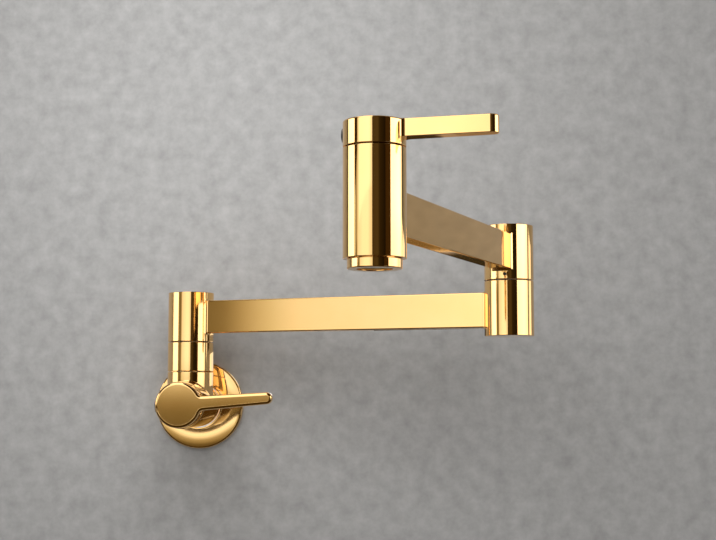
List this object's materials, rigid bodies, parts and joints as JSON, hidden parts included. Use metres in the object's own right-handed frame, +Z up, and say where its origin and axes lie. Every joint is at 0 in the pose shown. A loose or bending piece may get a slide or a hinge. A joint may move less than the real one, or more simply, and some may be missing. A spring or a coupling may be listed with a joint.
{
  "type": "wall mounted pot filler",
  "caption": "Wall mounted pot filler with jointed hollow swing arms on sealed swivels and quarter turn lever valves at the wall and at the spout, in a polished gold finish.",
  "frame": {"origin": "where the wall valve's axis meets the wall face", "axes": "+Y into the wall along the valve's axis, +Z up along the swivel axes, +X to the right as seen from the room"},
  "size_m": [0.2598, 0.3749, 0.169],
  "materials": {
    "gold": "polished, gold coated",
    "raw_brass": "machined",
    "steel": "satin",
    "rubber": "moulded",
    "ceramic": "ground ceramic",
    "nylon": "moulded",
    "plug": "moulded"
  },
  "bodies": {
    "root": {"valve_body": "gold", "wall_flange": "gold", "flange_gasket": "rubber", "flange_seal": "rubber", "inlet_nipple": "raw_brass", "inlet_screen": "steel", "inlet_washer": "rubber", "wall_seat_seal": "rubber", "wall_fixed_disc": "ceramic", "wall_cartridge_body": "raw_brass", "wall_cartridge_seal": "rubber", "wall_retaining_nut": "raw_brass", "riser_collar": "gold", "riser_stem": "raw_brass", "riser_lower_seal": "rubber", "riser_upper_seal": "rubber"},
    "wall_lever": {"wall_moving_disc": "ceramic", "wall_valve_stem": "raw_brass", "wall_stem_seal": "rubber", "wall_handle": "gold", "wall_handle_screw": "steel", "wall_handle_plug": "plug"},
    "arm_one": {"riser_housing": "gold", "riser_glide_ring": "nylon", "riser_swivel_screw": "steel", "arm_one_bar": "gold", "elbow_lower_housing": "gold", "elbow_stem": "raw_brass", "elbow_lower_seal": "rubber", "elbow_upper_seal": "rubber"},
    "arm_two": {"elbow_upper_housing": "gold", "elbow_glide_ring": "nylon", "elbow_swivel_screw": "steel", "arm_two_bar": "gold", "spout_column": "gold", "spout_nozzle": "gold", "aerator_insert": "nylon", "aerator_screen": "steel", "aerator_washer": "rubber", "spout_seat_seal": "rubber", "spout_fixed_disc": "ceramic", "spout_cartridge_body": "raw_brass", "spout_cartridge_seal": "rubber", "spout_retaining_nut": "raw_brass"},
    "spout_lever": {"spout_moving_disc": "ceramic", "spout_valve_stem": "raw_brass", "spout_stem_seal": "rubber", "spout_handle": "gold", "spout_handle_screw": "steel", "spout_handle_plug": "plug"}
  },
  "joints": [
    {"name": "wall_valve_turn", "type": "hinge", "parent": "root", "child": "wall_lever", "pos_m": [0, -0.09, 0], "axis": [0, -1, 0], "range_deg": [-90, 0]},
    {"name": "riser_swivel", "type": "hinge", "parent": "root", "child": "arm_one", "pos_m": [0, -0.05, 0.06], "axis": [0, 0, 1], "range_deg": [-161.4, 18.6]},
    {"name": "elbow_swivel", "type": "hinge", "parent": "arm_one", "child": "arm_two", "pos_m": [0.21325, -0.12177, 0.078], "axis": [0, 0, 1], "range_deg": [-77.6, 262.4]},
    {"name": "spout_valve_turn", "type": "hinge", "parent": "arm_two", "child": "spout_lever", "pos_m": [0.13262, -0.33182, 0.13], "axis": [0, 0, 1], "range_deg": [-90, 0]}
  ]
}
